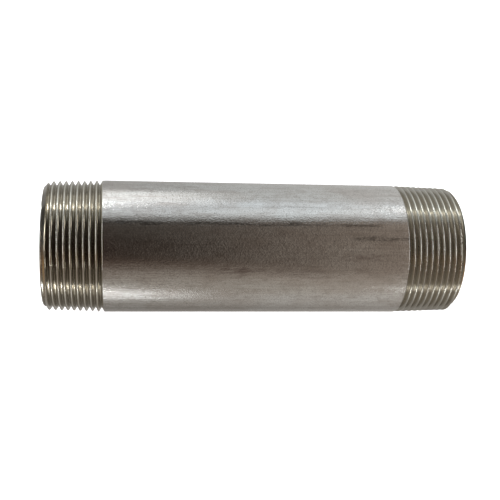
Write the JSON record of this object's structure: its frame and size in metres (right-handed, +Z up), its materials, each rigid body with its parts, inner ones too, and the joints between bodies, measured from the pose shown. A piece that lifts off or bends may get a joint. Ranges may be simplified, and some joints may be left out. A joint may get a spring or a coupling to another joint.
{
  "type": "threaded pipe nipple",
  "caption": "Straight stainless steel pipe nipple, 1-1/2 inch bore size, 6 inches long, with a right-hand taper pipe thread on each end and a plain barrel between.",
  "frame": {"origin": "on the pipe's axis, halfway along its length", "axes": "+X along the pipe's axis, +Z up with the nipple lying on its side"},
  "size_m": [0.1524, 0.0482, 0.0482],
  "materials": {
    "stainless_steel": "bead-blasted and lightly brushed mill finish on the barrel, bright turned threads and end faces"
  },
  "bodies": {
    "root": {"pipe_nipple": "stainless_steel"}
  },
  "joints": []
}
